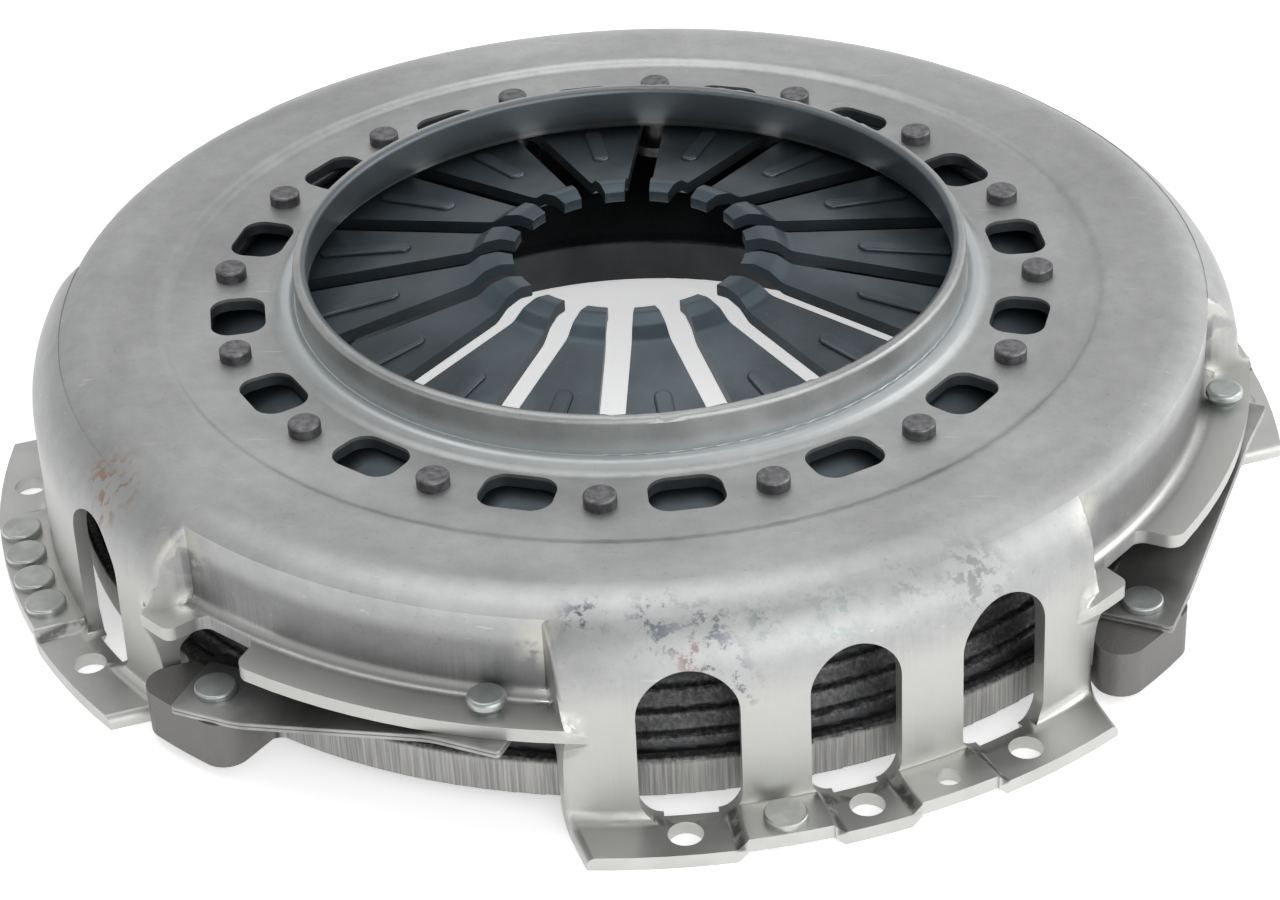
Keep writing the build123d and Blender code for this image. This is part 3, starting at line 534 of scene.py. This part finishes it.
# %% Spring, ring and rivet steels
tip_radii = (0.050, 0.062)
spring = Finish("spring_steel", (0.074, 0.090, 0.102), 0.8, 0.36)
spring.shade(spring.rise(spring.noise(35.0, 4.0), 0.3, 0.7, 0.75, 1.25))
tip = spring.fall(spring.radius, *tip_radii)
spring.paint((0.055, 0.085, 0.105), spring.times(tip, 0.5))
spring_grain = spring.rise(spring.noise(900.0, 3.0), 0.62, 0.72)
spring.paint((0.14, 0.155, 0.165), spring.times(spring_grain, 0.25))
spring.emboss(spring.noise(500.0, 3.0), 0.00003)
finishes["spring_steel"] = spring.done()

ring = Finish("ring_wire", (0.06, 0.062, 0.066), 0.8, 0.42)
finishes["ring_wire"] = ring.done()

stepped = Finish("stepped_rivet", (0.125, 0.125, 0.13), 0.8, 0.45)
stepped.shade(stepped.rise(stepped.noise(420.0, 3.0), 0.3, 0.7, 0.7, 1.35))
# Painted light: the tops of the stepped rivets are lighter.
stepped.shade(stepped.rise(stepped.z, 0.0725, 0.0738, 0.8, 1.35))
stepped.emboss(stepped.noise(600.0, 2.0), 0.00008)
finishes["stepped_rivet"] = stepped.done()

for name, color in (("strap_rivet", (0.46, 0.49, 0.48)), ("balance_rivet", (0.52, 0.54, 0.52))):
    plated = Finish(name, color, 0.85, 0.36)
    plated.shade(plated.rise(plated.noise(160.0, 3.0), 0.3, 0.7, 0.85, 1.12))
    plated.emboss(plated.noise(350.0, 2.0), 0.00006)
    finishes[name] = plated.done()

# %% [markdown]
# ### Leaf straps
# The faces of a leaf are dark, and its sheared edges get a pale steel as a painted highlight.  A
# mask by position would have to know where every leaf lies, so two materials are made here, and
# the faces of each strap choose between them further down.

# %% Strap steels
strap_face = Finish("strap_steel", (0.33, 0.33, 0.325), 0.85, 0.38)
strap_face.shade(strap_face.rise(strap_face.noise(60.0, 4.0), 0.3, 0.7, 0.75, 1.25))
strap_face.emboss(strap_face.noise(420.0, 2.0), 0.00004)
finishes["strap_steel"] = strap_face.done()
# Painted highlight: the sheared edges of the straps get a pale steel.
strap_edge_highlight = Finish("strap_edge_highlight", (0.70, 0.70, 0.67), 0.8, 0.40)
strap_edge_highlight.shade(strap_edge_highlight.rise(strap_edge_highlight.noise(500.0, 2.0), 0.35, 0.65, 0.7, 1.1))
edge_highlight_material = strap_edge_highlight.done()

# %% [markdown]
# ### Cast plate
# The casting is dark and grainy.  Its ridges get painted highlights, broken into specks, and the
# rim is ground with a coarse stone that leaves upright marks.  The ridges run round the axis, so
# each is a circle in the masks.

# %% Plate casting
ridges = ((0.1865, 0.0172), (0.1800, 0.0212), (0.1755, 0.0258), (0.1710, 0.0306))
ridge_reach = 0.0048
rim_radii, beyond_rim, rim_heights = (0.1868, 0.1873), (0.1885, 0.1895), (0.0155, 0.0170)
lug_radii = (0.1895, 0.1905)
plate = Finish("plate_casting", (0.060, 0.062, 0.066), 0.65, 0.5)
grain = plate.noise(900.0, 3.0)
plate.emboss(grain, 0.00018)
plate.shade(plate.rise(plate.noise(40.0, 3.0), 0.3, 0.7, 0.75, 1.3))
for radius, height in ridges:
    # Painted highlight on each ridge, broken into specks.
    edge = plate.near_circle(radius, height, ridge_reach)
    ridge_highlight_specks = plate.rise(plate.noise(650.0, 4.0, None, 0.7), 0.36, 0.70)
    plate.paint((0.24, 0.235, 0.225), plate.times(edge, ridge_highlight_specks, 0.85))
ground = plate.times(plate.rise(plate.radius, *rim_radii), plate.fall(plate.z, *rim_heights),
                     plate.fall(plate.radius, *beyond_rim))
stone_marks = plate.noise(1.0, 3.0, plate.vector(
    plate.times(plate.math("DIVIDE", plate.x, plate.radius), 240.0),
    plate.times(plate.math("DIVIDE", plate.y, plate.radius), 240.0), plate.times(plate.z, 22.0)), 0.7)
plate.paint((0.52, 0.515, 0.50), plate.times(ground, plate.rise(stone_marks, 0.3, 0.7, 0.45, 0.95)))
plate.emboss(plate.times(ground, stone_marks), 0.00006)
on_lug = plate.rise(plate.radius, *lug_radii)
plate.paint((0.19, 0.186, 0.180), on_lug)
finishes["plate_casting"] = plate.done()

# %% [markdown]
# ### Finishes go on
# The record of the CAD model says which finish each solid has, so none is picked by hand.

# %% Finishes go on the solids
for subpart in frame["record"]["subparts"]:
    solid = frame["nodes"][subpart["node"]]
    solid.data.materials.clear()
    solid.data.materials.append(finishes[subpart["material_slot"]])
print("painted", len(frame["nodes"]), "solids")

# %% [markdown]
# ### The turned form of the cover
# The outside of the cover is a turned shape with windows cut in it, and long thin triangles beside
# the cuts catch the light unevenly.  A new cover could be modelled with an even mesh, but it would
# drift from the solid.  So only the outline is turned once more, without any cuts and in fine
# steps.  It is never shown: the cover just borrows its normals.  The outline gets a second point
# close to each end of an arc, which keeps the flat beside the arc flat.

# %% Rounding the corners of an outline
arc_steps = 10
hold = 0.01


def rounded(rows):
    """Points along an outline of radius, height and corner radius, all in millimetres."""
    points = [Vector(rows[0][:2])]
    for before, corner, after in zip(rows, rows[1:], rows[2:]):
        tip = Vector(corner[:2])
        back_way, on_way = (Vector(before[:2]) - tip).normalized(), (Vector(after[:2]) - tip).normalized()
        half = back_way.angle(on_way) / 2
        run = corner[2] / tan(half)
        centre = tip + (back_way + on_way).normalized() * (corner[2] / sin(half))
        points.append(tip + back_way * (run + hold))
        start, end = tip + back_way * run - centre, tip + on_way * run - centre
        for step in range(arc_steps + 1):
            turned = start.slerp(end, step / arc_steps)
            points.append(centre + turned.normalized() * corner[2])
        points.append(tip + on_way * (run + hold))
    return points + [Vector(rows[-1][:2])]


# %% Turning the form
turned_steps = 240
turned_rows = (
    ((118.0, 65.5, 0), (105.1, 65.5, 11.5), (105.1, 84.8, 2.0), (109.6, 84.8, 2.0), (109.6, 71.6, 0.4),
     (111.4, 73.0, 2.0), (113.8, 73.0, 3.5), (117.4, 70.0, 5.0), (151.6, 70.0, 5.0), (154.2, 71.8, 5.0),
     (197.5, 71.8, 24.0), (198.4, 4.5, 4.0), (215.0, 4.5, 0)),
    ((187.0, 66.0, 0), (187.0, 40.0, 4.0), (202.0, 40.0, 0)),
)
form = bmesh.new()
for rows in turned_rows:
    corners = [form.verts.new((point.x / 1000, 0.0, point.y / 1000)) for point in rounded(rows)]
    edges = [form.edges.new(pair) for pair in zip(corners, corners[1:])]
    bmesh.ops.spin(form, geom=corners + edges, axis=(0, 0, 1), cent=(0, 0, 0), angle=2 * pi,
                   steps=turned_steps, use_merge=True)
bmesh.ops.remove_doubles(form, verts=form.verts, dist=1e-7)
for face in form.faces:
    face.smooth = True
form_mesh = bpy.data.meshes.new("turned_form")
form.to_mesh(form_mesh)
form.free()
turned_form = add_object("turned_form", form_mesh)
turned_form.hide_render = True
print("turned form faces", len(form_mesh.polygons))

# %% [markdown]
# ### Borrowed normals
# A Data Transfer modifier copies the normals from the nearest point of the turned form.  It may
# not do so on the walls of the slots and windows, which would then be lit like the outside.  So it
# is held to a vertex group: the vertices that lie on the form and already face nearly as it does.

# %% The cover borrows its normals
on_form, nearly_as = 0.0001, radians(40)
form_tree = BVHTree.FromPolygons([vertex.co for vertex in form_mesh.vertices],
                                 [tuple(face.vertices) for face in form_mesh.polygons])
sheet_solid = frame["nodes"]["cover"]
turned_group = sheet_solid.vertex_groups.new(name="turned")
turned_vertices = set()
for corner, held in zip(sheet_solid.data.loops, sheet_solid.data.corner_normals):
    _, normal, _, distance = form_tree.find_nearest(sheet_solid.data.vertices[corner.vertex_index].co)
    if distance < on_form and normal.angle(held.vector) < nearly_as:
        turned_vertices.add(corner.vertex_index)
turned_group.add(sorted(turned_vertices), 1.0, "REPLACE")
borrow = sheet_solid.modifiers.new("borrow_normals", "DATA_TRANSFER")
borrow.object = turned_form
borrow.use_loop_data = True
borrow.data_types_loops = {"CUSTOM_NORMAL"}
borrow.loop_mapping = "POLYINTERP_NEAREST"
borrow.vertex_group = turned_group.name
print("vertices on the turned form", len(turned_vertices), "of", len(sheet_solid.data.vertices))

# %% [markdown]
# ## Pieces that bend
# A CAD solid can only move as a whole.  The spring and the straps bend, so copies of their
# meshes stand in for them.  New meshes could be built from outlines, but copies are sure to match
# the solids.  They are first merged into closed skins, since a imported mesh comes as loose
# triangles.

# %% Copying a solid
sharp_angle = radians(35)
merge_distance, cut_distance = 1e-6, 1e-7


def merged_shape(node):
    """A solid's mesh as one closed skin, with its normals outwards."""
    shape = bmesh.new()
    shape.from_mesh(frame["nodes"][node].data)
    bmesh.ops.remove_doubles(shape, verts=shape.verts, dist=merge_distance)
    bmesh.ops.dissolve_degenerate(shape, edges=shape.edges, dist=cut_distance)
    bmesh.ops.recalc_face_normals(shape, faces=shape.faces)
    return shape


def finished_piece(name, shape, material_names):
    """Turn a shape into an object, smooth but for its sharp edges."""
    for face in shape.faces:
        face.smooth = True
    for edge in shape.edges:
        edge.smooth = len(edge.link_faces) == 2 and edge.calc_face_angle() < sharp_angle
    mesh = bpy.data.meshes.new(name)
    shape.to_mesh(mesh)
    shape.free()
    if "custom_normal" in mesh.attributes:
        mesh.attributes.remove(mesh.attributes["custom_normal"])
    mesh.materials.clear()
    for material in material_names:
        mesh.materials.append(material)
    return add_object(name, mesh)


# %% [markdown]
# ### Spring
# The fingers go down with the release bearing, and the rim rises with the plate, both about the
# wire rings.  One piece bends along one straight line only, and this spring bends all round.  So it
# is cut into sixteen sectors, one for each finger, and each sector into a finger and its stretch of
# rim.

# %% Spring in sixteen fingers and sixteen stretches of rim
finger_count = 16
half_pitch = pi / finger_count
ring_low, ring_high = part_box("upper_fulcrum_ring")
fulcrum_radius = ring_high.x - (ring_high.z - ring_low.z) / 2
whole_spring = merged_shape("diaphragm_spring")


def cut(shape, point, outward):
    """Take away the part of a shape beyond a plane, and close the cut."""
    everything = list(shape.verts) + list(shape.edges) + list(shape.faces)
    result = bmesh.ops.bisect_plane(shape, geom=everything, dist=cut_distance, plane_co=point,
                                    plane_no=outward, clear_outer=True)
    rim = [item for item in result["geom_cut"] if isinstance(item, bmesh.types.BMEdge)]
    bmesh.ops.holes_fill(shape, edges=rim, sides=0)


for place in range(finger_count):
    middle = 2 * half_pitch * (place + 0.5)
    sector = whole_spring.copy()
    for side in (-1, 1):
        cut(sector, Vector((0, 0, 0)), radial(middle + side * half_pitch + side * pi / 2, 1.0))
    finger = sector.copy()
    cut(finger, radial(middle, fulcrum_radius), radial(middle, 1.0))
    finger_piece = finished_piece(f"spring_finger_{place + 1:02d}", finger, [finishes["spring_steel"]])
    cut(sector, radial(middle, fulcrum_radius), -radial(middle, 1.0))
    rim_piece = finished_piece(f"spring_rim_{place + 1:02d}", sector, [finishes["spring_steel"]])
    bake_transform(finger_piece)
    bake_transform(rim_piece)
    for piece in (finger_piece, rim_piece):
        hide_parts("diaphragm_spring")
whole_spring.free()
print("spring pieces", 2 * finger_count, "fulcrum at", round(fulcrum_radius * 1000, 2), "mm")

# %% [markdown]
# ### Straps
# A strap stands still at the ledge of the cover and moves with the plate at the lug.  Between its
# two rivets it bends.  The stretch under each rivet head is clamped flat, so the bend starts and
# ends a little way in from the rivets.  Here each strap is only copied as one smooth piece, its
# faces sorted between the two steels.

# %% Straps
face_slope = 0.6
strap_nodes = [name for name in frame["nodes"] if name.startswith("strap_")]
for node in strap_nodes:
    leaf = merged_shape(node)
    for face in leaf.faces:
        # Side faces take the steel with the painted highlight.
        face.material_index = 1 if abs(face.normal.z) < face_slope else 0
    piece = finished_piece(f"bending_{node}", leaf, [finishes["strap_steel"], edge_highlight_material])
    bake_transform(piece)
    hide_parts(node)
print("straps", len(strap_nodes))
